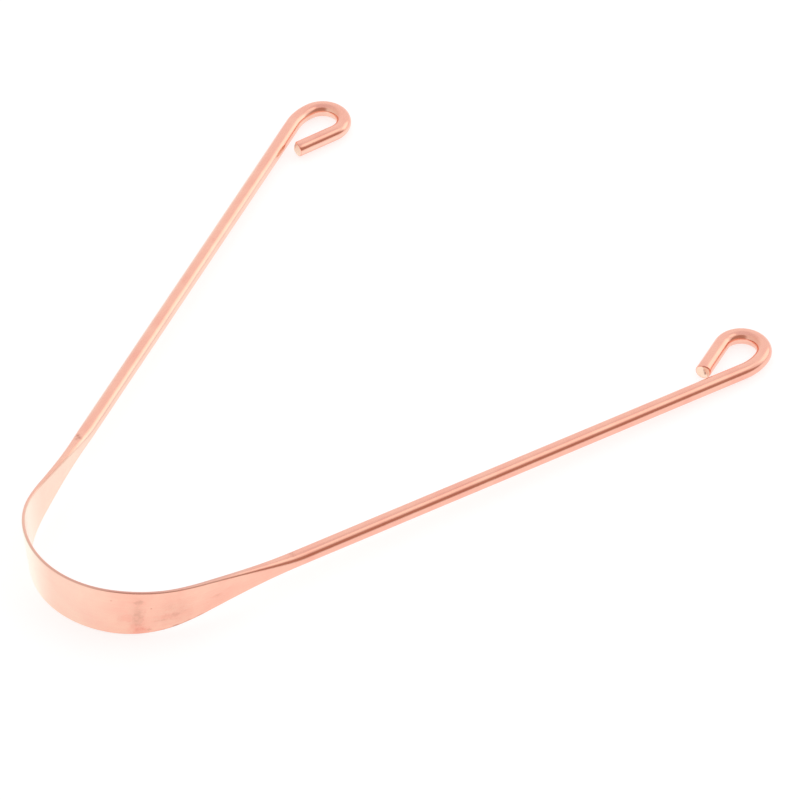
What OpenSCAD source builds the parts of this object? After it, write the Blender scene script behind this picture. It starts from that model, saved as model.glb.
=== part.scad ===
// Tongue scraper bent from one length of round copper wire.
// The middle of the wire is rolled flat and bent into a U: that is the scraping blade.
// On each side the strip narrows round the rest of the bend and along a straight taper
// until it is round wire. A straight arm follows, and each arm ends in a loop that is bent
// inward and stops short of the arm.
// The centre line of the wire lies in one plane, and the left half mirrors the right.
// The scraper is drawn as it lies on a table, on the lower edge of the blade in front
// and on the two loops behind. +X points to the right arm, +Y from the blade to the
// loops and +Z up, and the origin is below the middle of the whole.

/* [Wire] */
// Diameter of the round wire that the whole scraper is made from
wire_d = 3; // [2.4:0.1:4]
// Bevel left by smoothing the two cut ends of the wire
cut_bevel = 0.2; // [0.1:0.05:0.5]

/* [Blade] */
// Width of the flattened strip, from its lower edge to its upper edge
blade_w = 11.4; // [8:0.2:15]
// Radius of the U bend, at the middle of the wire
bend_r = 20.1; // [15:0.1:28]
// Half of the angle over which the strip keeps its full width
blade_half_angle = 27.5; // [15:0.5:40]
// Lean of the strip outward at its upper edge
blade_lean = 4.8; // [0:0.1:10]

/* [Shoulders] */
// Length along the wire over which flat strip becomes round wire
shoulder_l = 38.7; // [32:0.1:55]
// Radius of the slack bend between the U and a straight arm
ease_r = 40; // [32:1:60]
// Turn of the slack bend
ease_angle = 6.7; // [4:0.1:12]

/* [Arms] */
// Angle between each arm and the middle plane of the scraper
arm_angle = 18; // [10:0.5:26]
// Length of each round and straight arm
arm_l = 95.8; // [60:0.1:130]

/* [Loops] */
// Radius of the slow bend that leads from the arm into the eye
lead_r = 9.7; // [8:0.1:14]
// Turn of the slow bend, and so the angle at which the tail closes on the arm
lead_angle = 32.5; // [24:0.5:40]
// Radius of the half turn round the eye, at the middle of the wire
eye_r = 4.15; // [3.6:0.05:6]
// Gap between the cut end of the wire and the arm
tail_gap = 1; // [0.5:0.1:2]

/* [Hidden] */
copper = [0.95, 0.72, 0.62];
bright_copper = [0.98, 0.79, 0.7];
// Segments of a full circle in the preview
circle_steps = 96;
// Stations along each narrowing stretch, and points round each of its sections
narrow_steps = 16;
section_steps = 32;

// Section of the wire: the strip keeps the area of the round wire it is rolled from
wire_r = wire_d / 2;
wire_area = PI * wire_r * wire_r;
// Share of a square that lies outside its inscribed circle
corner_share = 1 - PI / 4;

// Thickness of a strip of width w with half-round edges and the area of the wire
function strip_t(w) = (w - sqrt(w * w - 4 * corner_share * wire_area)) / (2 * corner_share);
// Distance from the middle of such a strip to the centre of each half-round edge
function edge_reach(w) = (w - strip_t(w)) / 2;
// Outline of such a strip, standing up: two half-round edges joined by two flats
function strip_outline(w) =
    let (half_t = strip_t(w) / 2, reach = edge_reach(w))
    [for (k = [0:section_steps - 1])
        let (a = (k + 0.5) * 360 / section_steps)
        [half_t * cos(a), half_t * sin(a) + (a < 180 ? reach : -reach)]];

// Centre line of the right half, by the length s of wire from the middle of the blade
full_turn = 90 - arm_angle;
bend_turn = full_turn - ease_angle;
bend_l = bend_r * bend_turn * PI / 180;
ease_l = ease_r * ease_angle * PI / 180;
bend_end = bend_r * [sin(bend_turn), 1 - cos(bend_turn)];
ease_end = bend_end + ease_r * [sin(full_turn) - sin(bend_turn), cos(bend_turn) - cos(full_turn)];
arm_dir = [cos(full_turn), sin(full_turn)];

// Direction of the centre line at s, as an angle from +X
function heading(s) =
    s < bend_l ? s / bend_r * 180 / PI :
    s < bend_l + ease_l ? bend_turn + (s - bend_l) / ease_r * 180 / PI :
    full_turn;
// Point of the centre line at s, in the plane of the wire, with the blade's middle at zero
function line_point(s) =
    s < bend_l ? bend_r * [sin(heading(s)), 1 - cos(heading(s))] :
    s < bend_l + ease_l ? bend_end + ease_r * [sin(heading(s)) - sin(bend_turn),
                                               cos(bend_turn) - cos(heading(s))] :
    ease_end + (s - bend_l - ease_l) * arm_dir;

// Places along the wire where the blade ends, where the bend ends and where the wire is
// round again, and the points at which the round arm begins and ends
blade_half_l = bend_r * blade_half_angle * PI / 180;
straight_s = bend_l + ease_l;
round_s = blade_half_l + shoulder_l;
arm_start = line_point(round_s);
arm_end = arm_start + arm_l * arm_dir;

// The shoulder narrows slowly at both of its ends and fastest halfway
function slow_ends(u) = u * u * (3 - 2 * u);
function flatness(s) = 1 - slow_ends((s - blade_half_l) / shoulder_l);
function width_at(s) = wire_d + (blade_w - wire_d) * flatness(s);
function lean_at(s) = blade_lean * flatness(s);
// Place of one of the stations of a stretch
function station(from, to, k) = from + (to - from) * k / narrow_steps;

// One section of the shoulder: the strip's outline leaning outward, set square to the wire
function section_ring(s) =
    let (lean = lean_at(s), turn = heading(s), p = line_point(s))
    [for (q = strip_outline(width_at(s)))
        let (side = q[0] * cos(lean) + q[1] * sin(lean), high = q[1] * cos(lean) - q[0] * sin(lean))
        [p[0] + side * sin(turn), p[1] - side * cos(turn), high]];

// Loop, in the frame of the arm: x along the arm from its end, y inward.
// The eye is a half turn, so the tail runs back at the turn of the slow bend.
eye_centre = [0, lead_r] + (lead_r - eye_r) * [sin(lead_angle), -cos(lead_angle)];
tail_start_y = eye_centre[1] + eye_r * cos(lead_angle);
// The tail is cut where the corner of its end leaves the gap to the arm
tail_room = tail_start_y - wire_r * (1 + cos(lead_angle)) - tail_gap;
tail_l = tail_room / sin(lead_angle);

// Rest on the table: the angle at which both the loops and the lowest place of the blade touch
function low_reach(s) = edge_reach(width_at(s)) * cos(lean_at(s)) + strip_t(width_at(s)) / 2;
function low_y(s) = line_point(s)[1] + edge_reach(width_at(s)) * sin(lean_at(s)) * cos(heading(s));
eye_y = arm_end[1] + eye_centre[0] * sin(full_turn) + eye_centre[1] * cos(full_turn);
loops_y = eye_y + eye_r;
function seat_angle(run, drop) = atan2(drop, run) - asin(wire_r / norm([run, drop]));
rest_angle = max([for (k = [0:narrow_steps])
    let (s = station(blade_half_l, straight_s, k)) seat_angle(loops_y - low_y(s), low_reach(s))]);
rest_height = loops_y * sin(rest_angle) + wire_r;
front_y = -edge_reach(blade_w) * abs(sin(blade_lean - rest_angle)) - strip_t(blade_w) / 2;
back_y = loops_y * cos(rest_angle) + wire_r;
middle_y = (front_y + back_y) / 2;

// From the plane of the wire to the table
module laid_down() {
    translate([0, -middle_y, rest_height])
        rotate([-rest_angle, 0, 0])
            children();
}

// The left half is the right half in a mirror
module left_side() {
    mirror([1, 0, 0])
        children();
}

// Full-width stretch of the U: the strip's outline, leaning outward, swept round the bend
module blade_strip() {
    translate([0, bend_r, 0])
        rotate_extrude(angle = 2 * blade_half_angle, start = -90 - blade_half_angle, $fn = circle_steps)
            translate([bend_r, 0])
                rotate(-blade_lean)
                    polygon(strip_outline(blade_w));
}

// Stretch of the shoulder, on which the strip narrows and thickens towards the arm
module narrowing_strip(from, to) {
    rings = [for (k = [0:narrow_steps]) section_ring(station(from, to, k))];
    n = section_steps;
    last = narrow_steps * n;
    skin = [for (r = [0:narrow_steps - 1], k = [0:n - 1])
        let (a = r * n + k, b = r * n + (k + 1) % n)
        each [[a, b, a + n], [b, b + n, a + n]]];
    blade_end = [[for (k = [0:n - 1]) n - 1 - k]];
    arm_side_end = [[for (k = [0:n - 1]) last + k]];
    polyhedron(points = [for (ring = rings) each ring], faces = concat(skin, blade_end, arm_side_end));
}

// Round, straight stretch
module arm() {
    translate(arm_start)
        rotate([0, 90, full_turn])
            cylinder(h = arm_l, r = wire_r, $fn = circle_steps);
}

// Round wire bent to radius r, from the angle start over the angle turn
module bent_wire(r, start, turn) {
    rotate_extrude(angle = turn, start = start, $fn = circle_steps)
        translate([r, 0])
            circle(r = wire_r, $fn = circle_steps);
}

// Straight tail with its smoothed cut end, from the end of the half turn
module tail() {
    cylinder(h = tail_l - cut_bevel, r = wire_r, $fn = circle_steps);
    translate([0, 0, tail_l - cut_bevel])
        cylinder(h = cut_bevel, r1 = wire_r, r2 = wire_r - cut_bevel, $fn = circle_steps);
}

// Slow bend, half turn round the eye and tail, drawn round the middle of the eye
module loop() {
    translate(arm_end)
        rotate([0, 0, full_turn])
            translate(eye_centre)
                rotate([0, 0, lead_angle]) {
                    translate([0, lead_r - eye_r])
                        bent_wire(lead_r, -90 - lead_angle, lead_angle);
                    bent_wire(eye_r, -90, 180);
                    translate([0, eye_r])
                        rotate([0, -90, 0])
                            tail();
                }
}

module scraping_blade() {
    color(bright_copper)
        laid_down()
            blade_strip();
}

module left_bend() {
    color(bright_copper)
        laid_down()
            left_side()
                narrowing_strip(blade_half_l, straight_s);
}

module right_bend() {
    color(bright_copper)
        laid_down()
            narrowing_strip(blade_half_l, straight_s);
}

module left_taper() {
    color(bright_copper)
        laid_down()
            left_side()
                narrowing_strip(straight_s, round_s);
}

module right_taper() {
    color(bright_copper)
        laid_down()
            narrowing_strip(straight_s, round_s);
}

module left_arm() {
    color(copper)
        laid_down()
            left_side()
                arm();
}

module right_arm() {
    color(copper)
        laid_down()
            arm();
}

module left_loop() {
    color(copper)
        laid_down()
            left_side()
                loop();
}

module right_loop() {
    color(copper)
        laid_down()
            loop();
}

scraping_blade();
left_bend();
right_bend();
left_taper();
right_taper();
left_arm();
right_arm();
left_loop();
right_loop();
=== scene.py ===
# %% [markdown]
# # A tongue scraper bent from copper wire
# The object is one length of round copper wire. Its middle is rolled flat and bent into
# a U, and that flat strip is the scraping blade. On each side the strip narrows round the
# bend and along a straight taper into a round arm, and each arm ends in a small loop.
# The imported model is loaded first, because every piece made here stands exactly where its
# solid stands and takes its place in the picture.

# %% Load the solids
import math

import bmesh
import bpy
from mathutils import Matrix, Vector, noise
from mathutils.kdtree import KDTree


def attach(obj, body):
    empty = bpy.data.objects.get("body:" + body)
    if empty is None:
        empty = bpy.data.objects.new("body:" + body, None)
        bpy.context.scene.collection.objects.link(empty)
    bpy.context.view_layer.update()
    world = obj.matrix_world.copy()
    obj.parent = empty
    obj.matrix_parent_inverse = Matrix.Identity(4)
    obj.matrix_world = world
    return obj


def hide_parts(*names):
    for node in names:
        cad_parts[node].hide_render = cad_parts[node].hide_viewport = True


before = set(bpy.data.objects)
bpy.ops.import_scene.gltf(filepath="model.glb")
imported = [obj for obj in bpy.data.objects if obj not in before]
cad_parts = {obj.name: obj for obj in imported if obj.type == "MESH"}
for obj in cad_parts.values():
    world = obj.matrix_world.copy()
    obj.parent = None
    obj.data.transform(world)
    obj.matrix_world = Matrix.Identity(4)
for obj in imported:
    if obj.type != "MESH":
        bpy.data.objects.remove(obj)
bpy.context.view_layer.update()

print("solids:", sorted(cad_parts))

# %% [markdown]
# ## The sizes of the wire
# Blender works in metres, so a size in millimetres is multiplied by MM. The list of
# stretches describes half of the wire, from the middle of the blade to the cut end, as
# (length, radius of the bend). A straight stretch has no radius. Written this way, one
# short function can later tell where any place on the wire lies.

# %% Sizes
MM = 0.001
WIRE = 3.0 * MM
BLADE_WIDTH = 11.4 * MM
BLADE_LEAN = math.radians(4.8)
BLADE_ANGLE = math.radians(27.5)
CUT_BEVEL = 0.2 * MM

BEND_RADIUS = 20.1 * MM
BEND_ANGLE = math.radians(65.3)
SLACK_RADIUS = 40 * MM
SLACK_ANGLE = math.radians(6.7)
LEAD_RADIUS = 9.7 * MM
LEAD_ANGLE = math.radians(32.5)
EYE_RADIUS = 4.15 * MM
EYE_ANGLE = math.radians(180)
SHOULDER_LENGTH = 38.7 * MM
ARM_LENGTH = 95.8 * MM
TAIL_LENGTH = 8.8483 * MM
print("thickness of the wire in mm:", WIRE / MM)

# %% Stretches of half the wire
BEND = (BEND_RADIUS * BEND_ANGLE, BEND_RADIUS)
SLACK = (SLACK_RADIUS * SLACK_ANGLE, SLACK_RADIUS)
LEAD = (LEAD_RADIUS * LEAD_ANGLE, LEAD_RADIUS)
EYE = (EYE_RADIUS * EYE_ANGLE, EYE_RADIUS)
TAIL = (TAIL_LENGTH, None)

BLADE_END = BEND_RADIUS * BLADE_ANGLE
BEND_END = BEND[0] + SLACK[0]
ARM_START = BLADE_END + SHOULDER_LENGTH
ARM_END = ARM_START + ARM_LENGTH
STRETCHES = [BEND, SLACK, (ARM_END - BEND_END, None), LEAD, EYE, TAIL]
WIRE_END = sum(length for length, radius in STRETCHES)
print("length of the whole wire in mm:", round(2 * WIRE_END / MM, 1))

# %% [markdown]
# ## Where a place on the wire lies
# `place_on_wire` walks along the stretches and returns a matrix: the frame of one
# cross-section, with x pointing out of the U, y along the wire and z up. A bend is a turn
# about a point that lies one radius to the inner side. The left half is the right half in
# a mirror, so a negative distance means the left side. The whole wire is tilted a little,
# because the scraper lies on the edge of its blade in front and on its loops behind.

# %% The line of the wire
REST_TILT = math.radians(-1.8061034)
REST_SHIFT = Vector((0, -68.14326 * MM, 5.768973 * MM))
LAID_DOWN = Matrix.Translation(REST_SHIFT) @ Matrix.Rotation(REST_TILT, 4, "X")
MIRRORED = Matrix.Scale(-1, 4, (1, 0, 0))


def place_on_wire(s, laid_down=True):
    here = Matrix.Rotation(math.radians(-90), 4, "Z")
    left = abs(s)
    for length, radius in STRETCHES:
        step = min(left, length)
        if radius:
            here = (here @ Matrix.Translation((-radius, 0, 0)) @ Matrix.Rotation(step / radius, 4, "Z")
                    @ Matrix.Translation((radius, 0, 0)))
        else:
            here = here @ Matrix.Translation((0, step, 0))
        left -= step
    if s < 0:
        here = MIRRORED @ here
    return LAID_DOWN @ here if laid_down else here


print("right arm ends at", [round(x / MM, 2) for x in place_on_wire(ARM_END).translation], "mm")

# %% [markdown]
# ## The cross-section
# Rolling doesn't remove metal, so the flat strip has the area of the round wire it came
# from: the wider it is, the thinner it gets. A section starts as a circle as thick as
# the strip. Its upper half is moved up and its lower half down, which leaves half-round
# edges with flats between them. With nothing to move it stays the round wire. The strip
# also leans outward a little where it is at its widest. `rise` is a slow step from 0 to 1,
# and it is used wherever something changes along the wire.

# %% Width and thickness along the wire
CORNER_SHARE = 1 - math.pi / 4
WIRE_AREA = math.pi * (WIRE / 2) ** 2


def rise(value, start, end):
    u = min(max((value - start) / (end - start), 0), 1)
    return u * u * (3 - 2 * u)


def flatness(s):
    return 1 - rise(abs(s), BLADE_END, ARM_START)


def strip_width(s):
    return WIRE + (BLADE_WIDTH - WIRE) * flatness(s)


def strip_thickness(s):
    width = strip_width(s)
    root = max(width * width - 4 * CORNER_SHARE * WIRE_AREA, 0)
    return (width - math.sqrt(root)) / (2 * CORNER_SHARE)


def edge_reach(s):
    return (strip_width(s) - strip_thickness(s)) / 2


print("blade thickness in mm:", round(strip_thickness(0) / MM, 3))

# %% One ring of points round the wire
RING_POINTS = 96


def wire_ring(bm, s):
    reach = edge_reach(s)
    upright = Matrix.Rotation(math.radians(90), 4, "X") @ Matrix.Rotation(math.pi / RING_POINTS, 4, "Z")
    ring = bmesh.ops.create_circle(bm, cap_ends=False, radius=strip_thickness(s) / 2,
                                   segments=RING_POINTS, matrix=upright)["verts"]
    upper = [v for v in ring if v.co.z > 0]
    lower = [v for v in ring if v.co.z < 0]
    bmesh.ops.translate(bm, verts=upper, vec=(0, 0, reach))
    bmesh.ops.translate(bm, verts=lower, vec=(0, 0, -reach))
    lean = Matrix.Rotation(BLADE_LEAN * flatness(s), 3, "Y")
    bmesh.ops.rotate(bm, verts=ring, cent=(0, 0, 0), matrix=lean)
    bmesh.ops.transform(bm, matrix=place_on_wire(s), verts=ring)
    return ring


def ring_edges(ring):
    members = set(ring)
    return list({e for v in ring for e in v.link_edges if e.other_vert(v) in members})


print("gap between points round the wire in mm:", round(math.pi * WIRE / MM / RING_POINTS, 3))

# %% [markdown]
# ## Straightening the wire in thought
# The marks on the metal were made while it was a straight wire, or they follow the wire
# round its bends. So every point of the mesh stores where it was on the straight wire, as
# (across, along, up), with up to the upper edge of the strip and across to the outside
# of the U. The materials read that, and the grain then runs round a loop as it does on
# real wire. A table of places every half millimetre along the line finds them quickly.

# %% Table of places along the line
TABLE_STEP = 0.5 * MM
steps = int(WIRE_END / TABLE_STEP) + 1
distances = [k * TABLE_STEP for k in range(-steps, steps + 1)]
table = [(s, place_on_wire(s, laid_down=False)) for s in distances]
lookup = KDTree(len(table))
for index, (s, here) in enumerate(table):
    lookup.insert(here.translation, index)
lookup.balance()
LIFTED = LAID_DOWN.inverted()


def on_straight_wire(point):
    flat = LIFTED @ point
    index = lookup.find((flat.x, flat.y, 0))[1]
    s, here = table[index]
    local = here.inverted() @ flat
    s += local.y if s >= 0 else -local.y
    lean = BLADE_LEAN * flatness(s)
    across = local.x * math.cos(lean) - local.z * math.sin(lean)
    up = local.z * math.cos(lean) + local.x * math.sin(lean)
    return Vector((across, s, up))


print("places in the table:", len(table))

# %% [markdown]
# ## What the tools left behind
# Real wire is never perfectly even. Drawing and straightening leave it a few hundredths
# of a millimetre thinner in places, the jaws that start the flattening leave a small nick
# on top of each arm, and the cutters leave one on the rim of the left cut end. Metal is
# only pressed in, never built up, so every point moves towards the heart of the section,
# which is the middle line of the strip.

# %% Nicks and unevenness
DEEPEST_NICK = 0.07 * MM
# Each nick: place along the wire in mm, half its length in mm, angle from the top towards
# the outside and half its width in degrees, and share of the deepest nick
NICKS = [(-44.3, 0.36, 14, 14, 1.0), (-43.8, 0.30, -8, 13, 0.9), (-43.2, 0.34, 4, 10, 0.6),
         (45.9, 0.45, -4, 26, 0.4), (-171.4, 0.35, -75, 15, 0.8)]
DEEPEST_WAVE = 0.018 * MM
# Waves in a metre, across the wire and along it
WAVES_ACROSS = 260
WAVES_ALONG = 70


def nick_at(spot):
    press = 0
    for place, half_length, side, half_angle, share in NICKS:
        around = (math.degrees(math.atan2(spot.x, spot.z)) - side) / half_angle
        along = (spot.y / MM - place) / half_length
        press += share * math.exp(-along ** 2 - around ** 2)
    return DEEPEST_NICK * press


def wave_at(spot):
    spread = Vector((spot.x * WAVES_ACROSS, spot.y * WAVES_ALONG, spot.z * WAVES_ACROSS))
    return DEEPEST_WAVE * (0.5 + 0.5 * noise.noise(spread))


def heart_of_section(spot):
    s = min(max(spot.y, -WIRE_END), WIRE_END)
    reach = edge_reach(s)
    lean = Matrix.Rotation(BLADE_LEAN * flatness(s), 4, "Y")
    return place_on_wire(s) @ lean @ Vector((0, 0, min(max(spot.z, -reach), reach)))


print("nicks:", len(NICKS), "and the deepest in mm:", round(DEEPEST_NICK / MM, 3))

# %% [markdown]
# ## Where the copper differs
# Four masks are stored beside the place on the wire. The nick mask is 1 at the bottom of the deepest nick,
# and it also paints a fine dark line along the inner rim of the left taper: painted shade, where the rim
# would otherwise catch a highlight. The edge mask grows on the half-round edges of the strip, which the rolls
# never touch, and makes them rougher; it also paints them darker, as painted shade for the darker room they
# reflect, most of all to the right of the middle. The drawn mask grows along the tapers to 1 where the round
# arm begins, so that the finish of the rolls gives way to that of the die without a line between them. The
# pale mask is painted light: it makes the copper paler, standing in for brighter reflected light, on the
# outer face from the middle to the left, on the inner side of the left half, along the left arm, inside the
# loops and on the outside of the left tail. Masks that change slowly fit on the points of the mesh and need
# no nodes.
# Sides are told apart by `outward`, which runs from -1 on the inner side of the wire to 1
# on its outer side.

# %% Areas of painted light
# Each area of painted light: the sides between which it starts and is full, the places in mm between which it
# starts and is full at one end, the same at its other end, and how pale it is
PAINTED_LIGHT_AREAS = [((0.3, 0.8), (15, 1), (-26, -15), 0.26),
              ((0.3, 0.8), (-1, -12), (-26, -15), 0.74),
              ((-0.6, -0.85), (-8, -20), (-143, -128), 0.30),
              ((-0.6, -0.85), (-8, -20), (-52, -42), 0.11),
              ((-0.6, -0.85), (-8, -19), (-28, -20), 0.30),
              ((0.2, 0.6), (-44, -50), (-143, -128), 0.30),
              ((-0.6, -0.9), (-138, -146), (-175, -172), 0.25),
              ((-0.6, -0.9), (138, 146), (175, 172), 0.12),
              ((0.93, 1.0), (-153, -162), (-175, -172), 0.30)]


def painted_light_at(spot):
    outward = spot.x / (strip_thickness(spot.y) / 2)
    along = spot.y / MM
    return sum(share * rise(outward, *side) * rise(along, *one_end) * rise(along, *other_end)
               for side, one_end, other_end, share in PAINTED_LIGHT_AREAS)


print("pale areas:", len(PAINTED_LIGHT_AREAS))

# %% Edges with painted shade, drawn ends and the rim's painted shade
# How dull the edge is on the left, and how much shade is painted on it there, when the right is 1, and where
# in mm it changes; the left gets less painted shade, where more light falls along it
LEFT_EDGE_DULL_AND_SHADE = 0.35
EDGE_CHANGE = (-26, 8)
# Places in mm from which the finish of the rolls gives way, left and right
DRAWN_FROM = {"left": 40, "right": 29}
# The painted shade along the rim, a dark line where the rim would otherwise catch a highlight: its strength,
# and pairs of limits between none of it and all of it, as angles in degrees over the rim and as places in mm
# along the taper
RIM_SHADE = 0.6
OVER_RIM = (26, 40), (66, 48)
ALONG_TAPER = (-24, -29), (-44, -36)


def edge_dull_and_shade_at(spot):
    above_flats = (abs(spot.z) - edge_reach(spot.y)) / (strip_thickness(spot.y) / 2)
    on_edge = rise(above_flats, 0.2, 0.9) * min(2 * flatness(spot.y), 1)
    return on_edge * (LEFT_EDGE_DULL_AND_SHADE + (1 - LEFT_EDGE_DULL_AND_SHADE) * rise(spot.y / MM, *EDGE_CHANGE))


def drawn_at(spot):
    start = DRAWN_FROM["right" if spot.y > 0 else "left"]
    return rise(abs(spot.y), start * MM, ARM_START)


def rim_shade_at(spot):
    tilt = math.degrees(math.atan2(spot.z - edge_reach(spot.y), -spot.x))
    over_rim = math.prod(rise(tilt, *limits) for limits in OVER_RIM)
    along_taper = math.prod(rise(spot.y / MM, *limits) for limits in ALONG_TAPER)
    return RIM_SHADE * over_rim * along_taper


print("drawn finish is full from", round(ARM_START / MM, 1), "mm on")

# %% Store the marks, the painted light and the painted shade on the points
MASKS = ("nick_and_rim_shade", "edge", "painted_light", "drawn")


def store_marks_light_and_shade(bm, rolled):
    straight = bm.verts.layers.float_vector.new("straight_wire")
    masks = {name: bm.verts.layers.float.new(name) for name in MASKS}
    for v in bm.verts:
        spot = on_straight_wire(v.co)
        nick = nick_at(spot)
        v[straight] = spot
        # The nick mask also carries the painted shade along the inner rim of the left taper
        v[masks["nick_and_rim_shade"]] = nick / DEEPEST_NICK + rim_shade_at(spot)
        v[masks["edge"]] = edge_dull_and_shade_at(spot)
        # The pale mask is painted light, and the edge mask paints shade on the edges
        v[masks["painted_light"]] = painted_light_at(spot)
        v[masks["drawn"]] = drawn_at(spot) if rolled else 0
        v.co += (heart_of_section(spot) - v.co).normalized() * (wave_at(spot) + nick)


print("masks:", *MASKS)

# %% [markdown]
# ## Finishing a piece
# Every piece is closed at both ends, although a cap that meets the next stretch is never
# seen: a closed piece has a clear inside and can be printed or weighed. The rims of the
# caps are marked sharp, so that the shading runs on from one stretch to the next and the
# seams don't show. The left pieces are made on the right and mirrored. A mirror turns
# faces inside out, so the normals are worked out after it. Sweeping and extruding give
# points and faces in an order that changes from run to run, so `in_order` sorts both by
# where they are, and each run gives the same mesh.

# %% Finish a piece
# Points nearer to each other than this are one point
SAME_POINT = 0.0002 * MM


def in_order(parts, place):
    rank = {part: k for k, part in enumerate(sorted(parts, key=place))}
    parts.sort(key=rank.get)


def finish_piece(bm, name, node, slot, mirror=False):
    if mirror:
        bmesh.ops.transform(bm, matrix=MIRRORED, verts=bm.verts)
    bmesh.ops.remove_doubles(bm, verts=bm.verts, dist=SAME_POINT)
    rims = [e for e in bm.edges if e.is_boundary]
    bmesh.ops.holes_fill(bm, edges=rims, sides=0)
    bmesh.ops.recalc_face_normals(bm, faces=bm.faces)
    for face in bm.faces:
        face.smooth = True
    for edge in rims:
        edge.smooth = False
    store_marks_light_and_shade(bm, rolled=slot == "rolled_copper")
    in_order(bm.verts, lambda v: tuple(v.co))
    in_order(bm.faces, lambda f: tuple(f.calc_center_median()))
    mesh = bpy.data.meshes.new(name)
    bm.to_mesh(mesh)
    volume = bm.calc_volume() / MM ** 3
    bm.free()
    piece = bpy.data.objects.new(name, mesh)
    bpy.context.scene.collection.objects.link(piece)
    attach(piece, "root")
    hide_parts(node)
    print(f"{name}: {len(mesh.polygons)} faces, {volume:.1f} mm3")
    return piece


# %% [markdown]
# ## The scraping blade
# The blade is the strip at its full width, bent to one radius. One ring swept about the
# axis of the bend makes it exactly, which is what `spin` does. The flats get extra points
# so that the slight unevenness of rolled metal can show on them.

# %% The blade
FLAT_POINTS = 14
BLADE_STEPS = 40


def strip_ring(bm, s):
    others = set(bm.verts)
    ring = wire_ring(bm, s)
    to_section = place_on_wire(s).inverted()
    height = {v: (to_section @ v.co).z for v in ring}
    flats = [e for e in ring_edges(ring) if (height[e.verts[0]] > 0) != (height[e.verts[1]] > 0)]
    bmesh.ops.subdivide_edges(bm, edges=flats, cuts=FLAT_POINTS)
    return [v for v in bm.verts if v not in others]


def only_edges(made):
    return [part for part in made if isinstance(part, bmesh.types.BMEdge)]


def spin_bend(bm, edges, s, radius, angle, count):
    axis = place_on_wire(s) @ Matrix.Translation((-radius, 0, 0))
    made = bmesh.ops.spin(bm, geom=edges, cent=axis.translation, axis=axis.col[2].to_3d(), dvec=(0, 0, 0),
                          angle=angle, steps=count, use_merge=False, use_duplicate=False)
    return only_edges(made["geom_last"])


bm = bmesh.new()
first = strip_ring(bm, -BLADE_END)
spin_bend(bm, ring_edges(first), 0, BEND_RADIUS, 2 * BLADE_ANGLE, BLADE_STEPS)
blade = finish_piece(bm, "blade_strip", "scraping_blade", "rolled_copper")

# %% [markdown]
# ## The narrowing stretches
# Beside the blade the section changes all the way: it narrows, thickens and stands up
# from its lean while the line still bends. No sweep of one ring can do that. Rings are
# set up every quarter millimetre instead, each with its own section, and bridged in pairs.
# Some operators replace the points that Python holds, so each point keeps the number of
# its ring in a layer, and the rings are found again by number.

# %% The bends and the tapers
RING_GAP = 0.25 * MM
# Each side, and whether it is mirrored
SIDES = (("left", True), ("right", False))


def narrowing_piece(start, end, name, node, mirror):
    bm = bmesh.new()
    number = bm.verts.layers.int.new("ring")
    count = math.ceil((end - start) / RING_GAP)
    for k in range(count + 1):
        for v in strip_ring(bm, start + (end - start) * k / count):
            v[number] = k
    for k in range(count):
        pair = [e for e in bm.edges if e.verts[0][number] == e.verts[1][number] in (k, k + 1)]
        bmesh.ops.bridge_loops(bm, edges=pair)
    return finish_piece(bm, name, node, "rolled_copper", mirror)


narrowing = []
for side, mirror in SIDES:
    narrowing.append(narrowing_piece(BLADE_END, BEND_END, f"{side}_bend_strip", f"{side}_bend", mirror))
    narrowing.append(narrowing_piece(BEND_END, ARM_START, f"{side}_taper_strip", f"{side}_taper", mirror))

# %% [markdown]
# ## The arms
# An arm is straight round wire. Extruding a ring in short steps gives it enough points
# along its length to carry the faint waviness of straightened wire, which is what makes
# the long reflections on it look drawn and not ruled.

# %% The arms
ARM_STEPS = 48


def extrude_along(bm, edges, place, length, count):
    step = place.col[1].to_3d() * (length / count)
    for _ in range(count):
        made = bmesh.ops.extrude_edge_only(bm, edges=edges)
        edges = [e for e in only_edges(made["geom"]) if e.is_boundary]
        bmesh.ops.translate(bm, verts=list({v for e in edges for v in e.verts}), vec=step)
    return edges


arms = []
for side, mirror in SIDES:
    bm = bmesh.new()
    ring = wire_ring(bm, ARM_START)
    extrude_along(bm, ring_edges(ring), place_on_wire(ARM_START), ARM_END - ARM_START, ARM_STEPS)
    arms.append(finish_piece(bm, f"{side}_arm_wire", f"{side}_arm", "drawn_copper", mirror))

# %% [markdown]
# ## The loops
# A maker bends a loop round a pin: first a slow lead-in, then half a turn round the eye,
# and then the short tail stays straight and is cut off just before it reaches the arm.
# The same steps make it here, with two spins and an extrusion. The cut end is filed, so its rim gets a small
# rounded bevel, and the cut face keeps a shallow dish. That face is fresh metal, so it gets the second
# material of the piece, which is rougher and is also painted paler, a painted highlight of the bright table
# it faces. Cutters bite from two sides, so a second, smaller facet leans back on the inner side: the end is
# cut through along their ridge with `bisect_plane`, and all beyond the ridge moves back along the wire.

# %% The cut end and its facet
BEVEL_STEPS = 3
DISH_RIM = 0.3 * MM
DISH_DEPTH = 0.03 * MM
RIDGE = Vector((-0.05 * MM, 0, 1.1 * MM))
FACET_SIDE = Vector((-0.883, 0, 0.470))
FACET_SLOPE = 0.45
# The last bit of the wire, which holds the bevel and the cut face
TIP_LENGTH = 1.05 * CUT_BEVEL


def cut_end(bm, edges):
    face = bmesh.ops.holes_fill(bm, edges=edges, sides=0)["faces"][0]
    bmesh.ops.bevel(bm, geom=list(face.edges), affect="EDGES", offset=CUT_BEVEL, offset_type="OFFSET",
                    segments=BEVEL_STEPS, profile=0.5, material=-1)
    face = next(f for f in bm.faces if len(f.verts) == RING_POINTS)
    for edge in face.edges:
        edge.smooth = False
    dish = bmesh.ops.inset_individual(bm, faces=[face], thickness=DISH_RIM, depth=-DISH_DEPTH)["faces"]
    for part in [face, *dish]:
        part.material_index = 1


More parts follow.
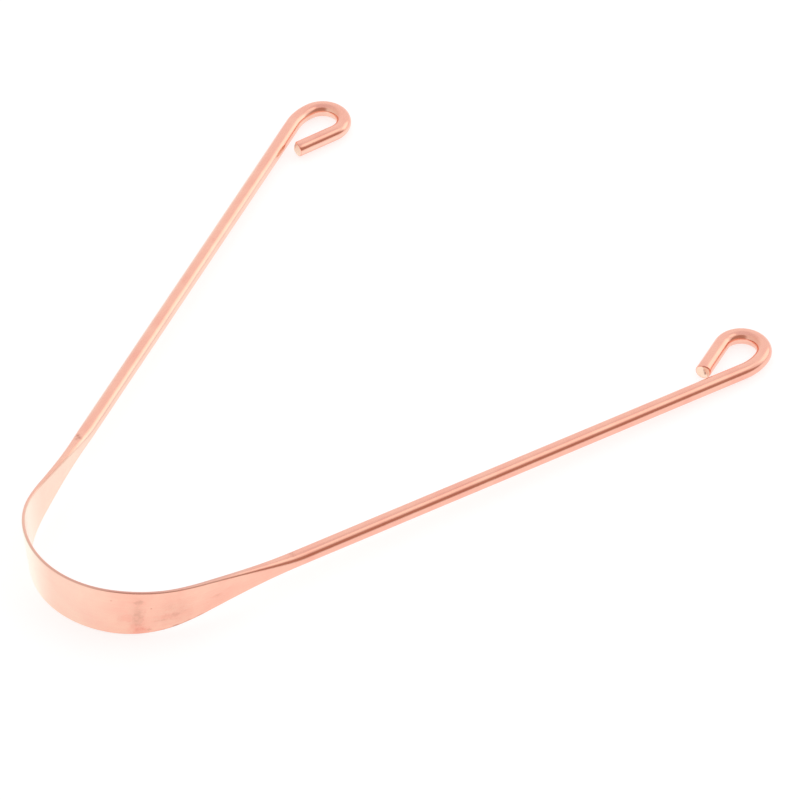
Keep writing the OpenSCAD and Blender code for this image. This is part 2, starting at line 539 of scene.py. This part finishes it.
def lean_back(bm):
    square_cut = place_on_wire(WIRE_END)
    to_cut = square_cut.inverted()
    ridge = square_cut @ RIDGE
    facet_side = square_cut.to_3x3() @ FACET_SIDE
    tip = {v for v in bm.verts if (to_cut @ v.co).y > -TIP_LENGTH}
    faces = [f for f in bm.faces if tip.issuperset(f.verts)]
    edges = [e for e in bm.edges if tip.issuperset(e.verts)]
    made = bmesh.ops.bisect_plane(bm, geom=faces + edges + list(tip), dist=SAME_POINT,
                                  plane_co=ridge, plane_no=facet_side)
    for edge in only_edges(made["geom_cut"]):
        edge.smooth = False
    for v in bm.verts:
        beyond = (v.co - ridge).dot(facet_side)
        if beyond > 0 and (to_cut @ v.co).y > -TIP_LENGTH:
            v.co -= square_cut.col[1].to_3d() * (FACET_SLOPE * beyond)


print("slope of the facet in degrees:", round(math.degrees(math.atan(FACET_SLOPE)), 1))

# %% The loops
LEAD_STEPS = 12
EYE_STEPS = 48
TAIL_STEPS = 8

loops = []
for side, mirror in SIDES:
    bm = bmesh.new()
    edges = ring_edges(wire_ring(bm, ARM_END))
    edges = spin_bend(bm, edges, ARM_END, LEAD_RADIUS, LEAD_ANGLE, LEAD_STEPS)
    edges = spin_bend(bm, edges, ARM_END + LEAD[0], EYE_RADIUS, EYE_ANGLE, EYE_STEPS)
    edges = extrude_along(bm, edges, place_on_wire(WIRE_END - TAIL_LENGTH / 2), TAIL_LENGTH, TAIL_STEPS)
    cut_end(bm, edges)
    lean_back(bm)
    loops.append(finish_piece(bm, f"{side}_loop_wire", f"{side}_loop", "drawn_copper", mirror))

# %% [markdown]
# ## Finishes that both kinds of copper share
# A finish used more than once is built once, as a node group. Drawing a wire through its die leaves fine
# lines along it, so the first group stretches a noise many times along the straight wire. The second gives
# what handling leaves: wide soft clouds where the skin of the metal has dulled, and a few small specks. The
# third is one mark with a torn outline, at a place and of a size that each use gives; it serves for rubbed
# marks and also for the painted shade on the strip's lower rim. `add_node` makes a node with its values: a
# name with a capital letter is the socket of that name, in_2 is input number 2, counted from 0, and what is
# given to it may be a value or the socket of another node.

# %% Helpers for nodes
def add_node(tree, kind, **values):
    node = tree.nodes.new(kind)
    for key, value in values.items():
        if key.startswith("in_"):
            socket = node.inputs[int(key[3:])]
        elif key[0].isupper():
            socket = node.inputs[key.replace("_", " ")]
        else:
            setattr(node, key, value)
            continue
        if isinstance(value, bpy.types.NodeSocket):
            tree.links.new(value, socket)
        else:
            socket.default_value = value
    return node


def mathed(tree, operation, *values, clamp=False):
    numbered = {f"in_{index}": value for index, value in enumerate(values)}
    return add_node(tree, "ShaderNodeMath", operation=operation, use_clamp=clamp, **numbered).outputs[0]


def mix_colour(tree, amount, first, second):
    return add_node(tree, "ShaderNodeMix", data_type="RGBA", in_0=amount, in_6=first, in_7=second).outputs[2]


def noised(tree, place, **values):
    return add_node(tree, "ShaderNodeTexNoise", Vector=place, **values).outputs[0]


def ramp(tree, value, low, high, **values):
    return add_node(tree, "ShaderNodeMapRange", Value=value, From_Min=low, From_Max=high, **values).outputs[0]


def new_group(name, inputs, outputs):
    tree = bpy.data.node_groups.new(name, "ShaderNodeTree")
    for socket, kind, value in inputs:
        made = tree.interface.new_socket(name=socket, in_out="INPUT", socket_type=kind)
        if value is not None:
            made.default_value = value
    for socket in outputs:
        tree.interface.new_socket(name=socket, in_out="OUTPUT", socket_type="NodeSocketFloat")
    given = tree.nodes.new("NodeGroupInput").outputs
    return tree, given, tree.nodes.new("NodeGroupOutput").inputs


# %% Group: lines left by drawing or rolling
PER_MM = 1000.0
BROADER = 0.22

lines, given, result = new_group(
    "lengthwise lines",
    [("Place", "NodeSocketVector", None), ("Lines per mm", "NodeSocketFloat", 5.0),
     ("Stretch", "NodeSocketFloat", 0.02)],
    ["Fine", "Broad"])
stretch = add_node(lines, "ShaderNodeCombineXYZ", X=1.0, Y=given["Stretch"], Z=1.0).outputs[0]
pulled = add_node(lines, "ShaderNodeVectorMath", operation="MULTIPLY", in_0=given["Place"],
                  in_1=stretch).outputs[0]
per_metre = mathed(lines, "MULTIPLY", given["Lines per mm"], PER_MM)
coarser = mathed(lines, "MULTIPLY", per_metre, BROADER)
fine = noised(lines, pulled, Scale=per_metre, Detail=3.0, Roughness=0.55)
broad = noised(lines, pulled, Scale=coarser, Detail=2.0, Roughness=0.5)
lines.links.new(fine, result["Fine"])
lines.links.new(broad, result["Broad"])
print("nodes in the group of lines:", len(lines.nodes))

# %% Group: what handling leaves
SPECK_RADIUS = 0.12
SPECK_CHANCE = 0.66

handled, given, result = new_group(
    "handled skin",
    [("Place", "NodeSocketVector", None), ("Cloud per mm", "NodeSocketFloat", 0.18),
     ("Speck size", "NodeSocketFloat", 0.5)],
    ["Clouds", "Specks"])
per_metre = mathed(handled, "MULTIPLY", given["Cloud per mm"], PER_MM)
cloud = noised(handled, given["Place"], Scale=per_metre, Detail=4.0, Roughness=0.6, Distortion=0.4)
handled.links.new(ramp(handled, cloud, 0.32, 0.7), result["Clouds"])
cells = add_node(handled, "ShaderNodeTexVoronoi", Vector=given["Place"], Scale=900.0)
limit = mathed(handled, "MULTIPLY", given["Speck size"], SPECK_RADIUS)
dots = mathed(handled, "LESS_THAN", cells.outputs["Distance"], limit)
chance = noised(handled, given["Place"], Scale=420.0, Detail=1.0)
rare = mathed(handled, "GREATER_THAN", chance, SPECK_CHANCE)
handled.links.new(mathed(handled, "MULTIPLY", dots, rare), result["Specks"])
print("nodes in the group of handling:", len(handled.nodes))

# %% Group: one mark, for rubbed marks and for painted shade
TEAR_MIDDLE = 0.45

mark_group, given, result = new_group(
    "rubbed mark and shade",
    [("Place", "NodeSocketVector", None), ("Centre", "NodeSocketVector", None),
     ("Reach", "NodeSocketVector", None), ("Ragged", "NodeSocketFloat", 1.0)],
    ["Mask"])
from_centre = add_node(mark_group, "ShaderNodeVectorMath", operation="SUBTRACT", in_0=given["Place"],
                       in_1=given["Centre"]).outputs[0]
scaled = add_node(mark_group, "ShaderNodeVectorMath", operation="DIVIDE", in_0=from_centre,
                  in_1=given["Reach"]).outputs[0]
distance = add_node(mark_group, "ShaderNodeVectorMath", operation="LENGTH", in_0=scaled).outputs["Value"]
torn = noised(mark_group, given["Place"], Scale=900.0, Detail=3.0, Roughness=0.6)
tear = mathed(mark_group, "SUBTRACT", torn, TEAR_MIDDLE)
torn_distance = mathed(mark_group, "ADD", mathed(mark_group, "MULTIPLY", tear, given["Ragged"]), distance)
whole = ramp(mark_group, torn_distance, 1.0, 0.2, interpolation_type="SMOOTHSTEP")
patches = noised(mark_group, given["Place"], Scale=1500.0, Detail=2.0)
patchy = ramp(mark_group, patches, 0.36, 0.62, To_Min=0.62)
mark_group.links.new(mathed(mark_group, "MULTIPLY", whole, patchy), result["Mask"])
print("groups:", [g.name for g in bpy.data.node_groups])

# %% [markdown]
# ## The copper itself
# Copper is a bare metal, so its colour is the colour of its reflections, and the shader's Metallic is 1. Each
# finish drifts between a pinker and a yellower copper with the clouds. The masks make it duller, and they
# also paint light and shade into it: paler where it stands in for brighter reflected light, and darker on the
# edges and along the rim of the left taper as painted shade. The rolled finish turns into the drawn one by
# the end of the tapers. The specks and nicks are darkest, and the lines make the roughness, a faint change of
# colour and a very shallow bump.

# %% Colours and strengths of the copper
DRAWN_TONES = (0.945, 0.475, 0.375, 1), (0.975, 0.550, 0.430, 1)
ROLLED_TONES = (0.975, 0.530, 0.415, 1), (0.995, 0.600, 0.465, 1)
# The cut face's tones are painted paler than fresh copper: a painted highlight of the bright table that the
# cut face reflects
CUT_TONES_PAINTED_PALER = (0.990, 0.740, 0.580, 1), (0.998, 0.860, 0.720, 1)
# Painted light: this pale copper stands in for brighter reflected light on the strip, the left arm, the loops
# and the left tail
PAINTED_LIGHT_COPPER = (1.000, 0.945, 0.800, 1)
# Painted shade: this edge colour stands in for the darker room that the edges of the strip reflect
EDGE_SHADE_COPPER = (0.700, 0.410, 0.360, 1)
# This dull copper darkens specks, nicks and the marks on the strip, and also paints the shade along the rim
# of the left taper and on the lower rim of the blade
DULL_AND_SHADE_COPPER = (0.500, 0.230, 0.170, 1)
# How far the lines shift the colour between the two tones
LINE_DRIFT = 1.2
# How strongly the edges are tinted with painted shade, and how strongly the specks and the nicks, with the
# rim's painted shade, are darkened
EDGE_SHADE_TINT = 0.6
SPECK_TINT = 0.6
NICK_AND_RIM_SHADE_TINT = 0.75
# What is added to the roughness on edges, on drawn metal and on dull spots
EDGE_ROUGHNESS = 0.15
DRAWN_ROUGHNESS = -0.05
DULL_ROUGHNESS = 0.3
print("drawn copper runs from", DRAWN_TONES[0][:3], "to", DRAWN_TONES[1][:3])

# %% Copper
def stored(tree, name, output="Fac"):
    return add_node(tree, "ShaderNodeAttribute", attribute_name=name).outputs[output]


def copper(name, tones, lines_per_mm, stretch, roughness, roughness_change, line_depth):
    material = bpy.data.materials.new(name)
    material.use_nodes = True
    tree = material.node_tree
    metal = tree.nodes["Principled BSDF"]
    metal.inputs["Metallic"].default_value = 1.0
    place = stored(tree, "straight_wire", "Vector")
    nick_and_rim_shade, edge, painted_light, drawn = (stored(tree, mask) for mask in MASKS)
    grain = add_node(tree, "ShaderNodeGroup", node_tree=lines, Place=place,
                     Lines_per_mm=lines_per_mm, Stretch=stretch).outputs
    skin = add_node(tree, "ShaderNodeGroup", node_tree=handled, Place=place).outputs

    drift = mathed(tree, "MULTIPLY_ADD", grain["Fine"], LINE_DRIFT, -LINE_DRIFT / 2)
    yellower = mathed(tree, "ADD", skin["Clouds"], drift, clamp=True)
    colour = mix_colour(tree, yellower, *(mix_colour(tree, drawn, own, arm)
                                          for own, arm in zip(tones, DRAWN_TONES)))
    colour = mix_colour(tree, painted_light, colour, PAINTED_LIGHT_COPPER)
    colour = mix_colour(tree, mathed(tree, "MULTIPLY", edge, EDGE_SHADE_TINT), colour, EDGE_SHADE_COPPER)
    dull_and_shade = mathed(tree, "MAXIMUM", mathed(tree, "MULTIPLY", skin["Specks"], SPECK_TINT),
                  mathed(tree, "MULTIPLY", nick_and_rim_shade, NICK_AND_RIM_SHADE_TINT), clamp=True)
    tree.links.new(mix_colour(tree, dull_and_shade, colour, DULL_AND_SHADE_COPPER), metal.inputs["Base Color"])

    rough = mathed(tree, "MULTIPLY_ADD", grain["Broad"], roughness_change, roughness)
    rough = mathed(tree, "MULTIPLY_ADD", edge, EDGE_ROUGHNESS, rough)
    rough = mathed(tree, "MULTIPLY_ADD", drawn, DRAWN_ROUGHNESS, rough)
    rough = mathed(tree, "MULTIPLY_ADD", dull_and_shade, DULL_ROUGHNESS, rough)
    tree.links.new(rough, metal.inputs["Roughness"])
    bump = add_node(tree, "ShaderNodeBump", Strength=1.0, Distance=line_depth, Height=grain["Fine"])
    tree.links.new(bump.outputs[0], metal.inputs["Normal"])
    return material


# %% Copper for the pieces
drawn_copper = copper("drawn copper", DRAWN_TONES, lines_per_mm=7.0, stretch=0.02, roughness=0.14,
                      roughness_change=0.08, line_depth=0.004 * MM)
rolled_copper = copper("rolled copper", ROLLED_TONES, lines_per_mm=4.0, stretch=0.03, roughness=0.19,
                       roughness_change=0.08, line_depth=0.002 * MM)
cut_copper = copper("cut copper", CUT_TONES_PAINTED_PALER, lines_per_mm=5.0, stretch=1.0, roughness=0.40,
                    roughness_change=0.15, line_depth=0.01 * MM)
for piece in [blade, *narrowing]:
    piece.data.materials.append(rolled_copper)
for piece in [*arms, *loops]:
    piece.data.materials.append(drawn_copper)
for piece in loops:
    piece.data.materials.append(cut_copper)
print("nodes in the rolled copper:", len(rolled_copper.node_tree.nodes))

# %% [markdown]
# ## Marks on the rolled strip
# The strip's outer face has a band across it, to the right of the middle, where a clamp or a thumb has rubbed
# it, and a redder patch at the foot of that band. To the right of it come a wide faint shade, a darker
# stretch of the lower rim, which is painted shade where the strip meets the table, and a few small scrapes
# and specks. Each is one use of the mark group, at its place along the wire and up the strip. The place
# across is the outer face, so that the inner face stays clean. The same mark makes the small burr beside the
# ridge on the right cut end.

# %% Where the marks are
OUTER_FACE = 0.31 * MM
MARK_DEPTH = 0.5 * MM
BURR_DEPTH = 0.30 * MM
RED_COPPER = (0.940, 0.380, 0.300, 1)
DARK_COPPER = (0.330, 0.095, 0.062, 1)
# Each mark: place along and up, half its length and half its height, in mm, and strength
REDDER = [(14.9, -4.3, 2.4, 2.6, 0.75), (12.8, -1.2, 2.0, 1.6, 0.35), (20.5, -1.6, 3.0, 1.4, 0.30)]
BAND = [(14.8, -0.4, 2.0, 7.0, 0.20), (15.0, -0.8, 1.5, 3.8, 0.20), (15.1, 3.0, 1.7, 0.9, 0.26),
        (11.6, -1.2, 0.8, 1.8, 0.12)]
SHADE = [(21.8, -0.8, 5.0, 5.0, 0.17)]
# The lower rim's darker stretch is painted shade, where the strip meets the table
LOWER_RIM_SHADE = [(19.6, -4.9, 3.0, 0.5, 0.28), (22.2, -4.60, 2.8, 0.8, 0.85),
             (24.8, -4.25, 2.8, 0.8, 0.70), (27.4, -3.85, 2.8, 0.8, 0.70)]
SCRAPES = [(18.8, -2.2, 2.6, 0.4, 0.24), (21.8, -1.4, 1.6, 0.7, 0.18), (30.0, -0.3, 2.2, 0.7, 0.24),
           (32.4, 0.4, 1.8, 0.5, 0.18)]
SPECKS = [(10.3, 3.2, 0.32, 0.26, 0.5), (17.3, 1.2, 0.32, 0.28, 0.55), (16.9, -4.3, 0.8, 0.5, 0.28)]
DARKER = BAND + SHADE + LOWER_RIM_SHADE + SCRAPES + SPECKS
# The burr runs down the ridge, so its marks lie at different places across
BURR = [(-0.50 * MM, (171.5, -0.10, 0.8, 0.48, 0.9)), (-0.35 * MM, (171.5, 0.25, 0.8, 0.45, 0.6)),
        (-0.20 * MM, (171.5, 0.60, 0.8, 0.40, 0.5))]
print("marks on the strip:", len(REDDER) + len(DARKER))

# %% Rub the marks in, with the painted shade of the lower rim
def rub_marks_and_shade(material, marks, tint, across=OUTER_FACE, depth=MARK_DEPTH):
    tree = material.node_tree
    colour = tree.nodes["Principled BSDF"].inputs["Base Color"]
    place = stored(tree, "straight_wire", "Vector")
    amount = None
    for along, up, half_length, half_height, strength in marks:
        mark = add_node(tree, "ShaderNodeGroup", node_tree=mark_group, Place=place,
                        Centre=(across, along * MM, up * MM),
                        Reach=(depth, half_length * MM, half_height * MM))
        share = mathed(tree, "MULTIPLY", mark.outputs["Mask"], strength)
        amount = mathed(tree, "ADD", amount, share, clamp=True) if amount else share
    tree.links.new(mix_colour(tree, amount, colour.links[0].from_socket, tint), colour)


rub_marks_and_shade(rolled_copper, REDDER, RED_COPPER)
rub_marks_and_shade(rolled_copper, DARKER, DULL_AND_SHADE_COPPER)
for across, mark in BURR:
    rub_marks_and_shade(cut_copper, [mark], DARK_COPPER, across, BURR_DEPTH)
print("nodes in the rolled copper with its marks:", len(rolled_copper.node_tree.nodes))

# %% [markdown]
# ## The camera
# The photograph is taken from above and to the right of the blade, through a long lens
# from a little over a metre away. The three directions of the camera are worked out from
# its angles, in the plane of the wire, and tilted as the wire is.

# %% Camera
AIM = LAID_DOWN @ Vector((12.305 * MM, 79.122 * MM, 0))
DISTANCE = 1137.1 * MM
ROUND_ANGLE = math.radians(40.44)
UP_ANGLE = math.radians(41.93)
SENSOR_WIDTH = 36
FOCAL_LENGTH = 275.16

back = LAID_DOWN.to_3x3() @ Vector((math.sin(ROUND_ANGLE) * math.cos(UP_ANGLE),
                                    -math.cos(ROUND_ANGLE) * math.cos(UP_ANGLE), math.sin(UP_ANGLE)))
right = LAID_DOWN.to_3x3() @ Vector((math.cos(ROUND_ANGLE), math.sin(ROUND_ANGLE), 0))
turned = Matrix((right, back.cross(right), back)).transposed().to_4x4()
camera = bpy.data.objects.new("camera", bpy.data.cameras.new("camera"))
camera.matrix_world = Matrix.Translation(AIM + back * DISTANCE) @ turned
camera.data.sensor_width = SENSOR_WIDTH
camera.data.lens = FOCAL_LENGTH
bpy.context.scene.collection.objects.link(camera)
bpy.context.scene.camera = camera
print("camera is at", [round(x / MM) for x in camera.matrix_world.translation], "mm")

# %% [markdown]
# ## The table
# The scraper lies on a white table. The camera and the reflections see more white in it
# than the light alone would give, so that it comes out as white as the photograph's, and
# the soft shadow of the wire stays in it. The copper shows the table less bright the
# farther the reflected place lies from it, over the first five centimetres. The paper is
# faintly blue, because the light of the tent is faintly warm.

# %% The table top
TABLE_RADIUS = 3.0
TABLE_SIDES = 96

bm = bmesh.new()
bmesh.ops.create_circle(bm, cap_ends=True, radius=TABLE_RADIUS, segments=TABLE_SIDES)
table_top = bpy.data.meshes.new("table")
bm.to_mesh(table_top)
bm.free()
floor = bpy.data.objects.new("table", table_top)
bpy.context.scene.collection.objects.link(floor)
print("corners of the table top:", len(table_top.vertices))

# %% White paper
PAPER = (0.45, 0.48, 0.49, 1)
WHITE = (1, 1, 1, 1)
TABLE_GLOW = 0.70
FAR_GLOW = 0.45
# Distances from the copper between which the table goes from its near to its far glow
NEAR = 12 * MM
FAR = 50 * MM


def seen_directly(tree):
    path = add_node(tree, "ShaderNodeLightPath").outputs
    by_eye_or_copper = mathed(tree, "MAXIMUM", path["Is Camera Ray"], path["Is Glossy Ray"])
    return mathed(tree, "MAXIMUM", by_eye_or_copper, path["Is Transmission Ray"])


def glow_strength(tree):
    path = add_node(tree, "ShaderNodeLightPath").outputs
    far = ramp(tree, path["Ray Length"], NEAR, FAR, interpolation_type="SMOOTHSTEP")
    far_in_copper = mathed(tree, "MULTIPLY", far, path["Is Glossy Ray"])
    return mathed(tree, "MULTIPLY_ADD", far_in_copper, FAR_GLOW - TABLE_GLOW, TABLE_GLOW)


white = bpy.data.materials.new("white table")
white.use_nodes = True
tree = white.node_tree
tree.nodes.clear()
paper = add_node(tree, "ShaderNodeBsdfDiffuse", Color=PAPER).outputs[0]
glow = add_node(tree, "ShaderNodeEmission", Color=WHITE, Strength=glow_strength(tree)).outputs[0]
both = add_node(tree, "ShaderNodeAddShader", in_0=paper, in_1=glow).outputs[0]
choice = add_node(tree, "ShaderNodeMixShader", in_0=seen_directly(tree), in_1=paper, in_2=both).outputs[0]
add_node(tree, "ShaderNodeOutputMaterial", Surface=choice)
floor.data.materials.append(white)
print("glow of the table near and far:", TABLE_GLOW, FAR_GLOW)

# %% [markdown]
# ## The light
# Bare metal shows what stands round it, so the studio is part of the picture. It is a
# tent of white cloth, nearly white behind the object, and warmer and a little greyer in
# front of it and overhead. The tent is open from the front to the right, from the table
# upwards, and the opening reaches highest towards the photographer. It draws the dark
# line along the right arm and the dark spots inside the loops. Two soft warm lamps,
# behind and to the right, one low and one high, give the pale lights on the wire. A
# direction is given by its angle round, from +X towards +Y, and its angle up. `towards`
# compares the way of a ray with it: 1 is straight that way and -1 straight away from it,
# and the answer goes from 0 to 1 between two such limits.

# %% The tent
CLOTH_IN_FRONT = (0.84, 0.76, 0.71, 1)
CLOTH_BEHIND = (0.97, 0.96, 0.96, 1)
CLOTH_ABOVE = (0.79, 0.71, 0.73, 1)
DARK_ROOM = (0.46, 0.28, 0.22, 1)

world = bpy.data.worlds.new("white tent")
bpy.context.scene.world = world
world.use_nodes = True
sky = world.node_tree
sky.nodes.clear()
ray = add_node(sky, "ShaderNodeTexCoord").outputs["Generated"]


def direction(round_degrees, up_degrees):
    turn = math.radians(round_degrees)
    lift = math.radians(up_degrees)
    return Vector((math.cos(turn) * math.cos(lift), math.sin(turn) * math.cos(lift), math.sin(lift)))


def towards(round_degrees, up_degrees, low, high):
    aim = direction(round_degrees, up_degrees)
    dot = add_node(sky, "ShaderNodeVectorMath", operation="DOT_PRODUCT", in_0=ray, in_1=aim)
    return ramp(sky, dot.outputs["Value"], low, high, interpolation_type="SMOOTHSTEP")


tent = mix_colour(sky, towards(95, 0, -0.2, 0.6), CLOTH_IN_FRONT, CLOTH_BEHIND)
tent = mix_colour(sky, towards(0, 90, 0.74, 1.02), tent, CLOTH_ABOVE)
sides = mathed(sky, "MULTIPLY", towards(15, 0, -0.30, 0.20), towards(-47, -30, -0.13, 0.13))
ends = mathed(sky, "MULTIPLY", towards(130, 35, 0.19, -0.04), towards(0, 90, -0.06, 0.08))
tent = mix_colour(sky, mathed(sky, "MULTIPLY", sides, ends), tent, DARK_ROOM)
backdrop = add_node(sky, "ShaderNodeBackground", Color=tent, Strength=1.0)
add_node(sky, "ShaderNodeOutputWorld", Surface=backdrop.outputs[0])
print("nodes in the tent:", len(sky.nodes))

# %% The lamps
WARM_WHITE = (1.00, 0.90, 0.74)


def soft_lamp(name, round_degrees, up_degrees, distance, width, height, brightness):
    lamp = bpy.data.lights.new(name, "AREA")
    lamp.shape = "RECTANGLE"
    lamp.size = width
    lamp.size_y = height
    lamp.energy = brightness * math.pi * width * height
    lamp.color = WARM_WHITE
    stand = bpy.data.objects.new(name, lamp)
    away = direction(round_degrees, up_degrees)
    facing = away.to_track_quat("Z", "Y").to_matrix().to_4x4()
    stand.matrix_world = Matrix.Translation(away * distance) @ facing
    stand.visible_camera = False
    bpy.context.scene.collection.objects.link(stand)
    print(f"{name}: {lamp.energy:.2f} W")


soft_lamp("low lamp behind", round_degrees=64, up_degrees=22, distance=1.0,
          width=0.60, height=0.52, brightness=0.52)
soft_lamp("high lamp behind", round_degrees=40, up_degrees=54, distance=1.0,
          width=0.40, height=0.38, brightness=0.43)

# %% [markdown]
# ## The colours as they are
# The Standard view shows each colour as it is written.

# %% Finish
bpy.context.scene.view_settings.view_transform = "Standard"
